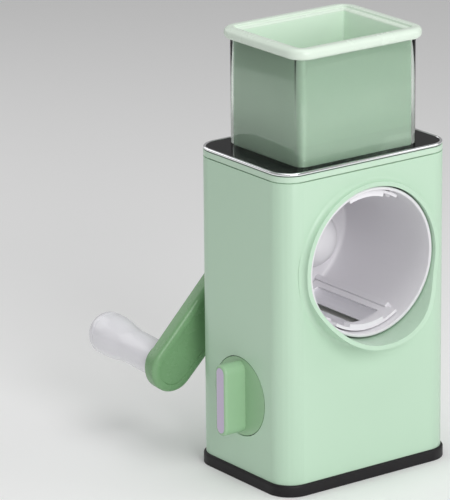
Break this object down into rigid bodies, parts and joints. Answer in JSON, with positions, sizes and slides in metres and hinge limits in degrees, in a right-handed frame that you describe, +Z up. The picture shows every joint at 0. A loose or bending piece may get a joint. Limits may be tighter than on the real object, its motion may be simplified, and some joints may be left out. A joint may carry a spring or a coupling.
{
  "type": "rotary cheese grater",
  "caption": "Upright hand-cranked drum grater with a clear feed chute and pusher, a flared round outlet and a suction foot worked by a side knob.",
  "frame": {"origin": "centre of the base's underside, on the table plane", "axes": "+Z up, the drum's mouth faces -Y, the suction knob is on the -X side and the crank is on the +Y side"},
  "size_m": [0.1502, 0.1961, 0.2673],
  "materials": {
    "body_green": "satin moulded ABS, pale green",
    "cover_green": "satin moulded ABS, slightly lighter green",
    "pusher_green": "moulded plastic, mid green",
    "trim_chrome": "dark mirror-plated plate with a bright bevel",
    "chute_clear": "clear moulded plastic, glossy",
    "drum_grey": "satin light grey moulded plastic",
    "blade_steel": "thin stamped stainless steel",
    "shaft_steel": "turned steel, bright",
    "crank_green": "moulded ABS, pale green",
    "grip_grey": "satin light grey moulded plastic",
    "base_black": "charcoal black moulded plastic",
    "cup_rubber": "soft dark rubber",
    "inner_white": "off-white moulded plastic",
    "bush_grey": "dark acetal",
    "knob_green": "satin moulded ABS, pale green",
    "cap_lilac": "satin lilac-grey plastic insert"
  },
  "bodies": {
    "body": {"body_shell": "body_green", "drum_chamber": "inner_white", "top_cover": "cover_green", "chrome_trim": "trim_chrome", "rear_bush": "bush_grey", "bush_nut": "bush_grey", "base_frame": "base_black", "base_screws": "shaft_steel", "suction_bridge": "inner_white", "knob_bearing": "bush_grey"},
    "crank": {"drive_shaft": "shaft_steel", "crank_arm": "crank_green", "crank_screw": "shaft_steel", "crank_cap": "crank_green", "grip_pin": "shaft_steel"},
    "drum": {"drum": "drum_grey"},
    "top_plate": {"plate_carrier_top": "drum_grey", "slicing_blade_top": "blade_steel"},
    "bottom_plate": {"plate_carrier_bottom": "drum_grey", "slicing_blade_bottom": "blade_steel"},
    "grip_sleeve": {"grip": "grip_grey", "grip_cap": "grip_grey"},
    "chute": {"feed_chute": "chute_clear"},
    "pusher": {"pusher": "pusher_green"},
    "knob": {"suction_knob": "knob_green", "knob_cap": "cap_lilac", "cam_shaft": "shaft_steel", "knob_screw": "shaft_steel"},
    "plunger": {"cup_stem": "inner_white", "suction_cup": "cup_rubber", "suction_spring": "shaft_steel"}
  },
  "joints": [
    {"name": "crank_turn", "type": "hinge", "parent": "body", "child": "crank", "pos_m": [0, 0.044, 0.1345], "axis": [0, 1, 0], "continuous": true},
    {"name": "drum_pull", "type": "slide", "parent": "crank", "child": "drum", "axis": [0, -1, 0], "range_m": [0, 0.105]},
    {"name": "top_plate_pull", "type": "slide", "parent": "drum", "child": "top_plate", "axis": [0, -1, 0], "range_m": [0, 0.08]},
    {"name": "bottom_plate_pull", "type": "slide", "parent": "drum", "child": "bottom_plate", "axis": [0, -1, 0], "range_m": [0, 0.08]},
    {"name": "grip_spin", "type": "hinge", "parent": "crank", "child": "grip_sleeve", "pos_m": [-0.0712, 0.06551, 0.05762], "axis": [0.0356, 0.9986, 0.0384], "continuous": true},
    {"name": "chute_lift", "type": "slide", "parent": "body", "child": "chute", "axis": [0, 0, 1], "range_m": [0, 0.03]},
    {"name": "pusher_lift", "type": "slide", "parent": "chute", "child": "pusher", "axis": [0, 0, 1], "range_m": [0, 0.08]},
    {"name": "knob_turn", "type": "hinge", "parent": "body", "child": "knob", "pos_m": [-0.06, 0, 0.05245], "axis": [1, 0, 0], "range_deg": [0, 90]},
    {"name": "cup_lift", "type": "slide", "parent": "body", "child": "plunger", "axis": [0, 0, 1], "range_m": [0, 0.004], "deforming": ["suction_cup", "suction_spring"]}
  ],
  "couplings": [
    {"joint": "cup_lift", "follows": "knob_turn", "m_per_rad": 0.0025462}
  ]
}
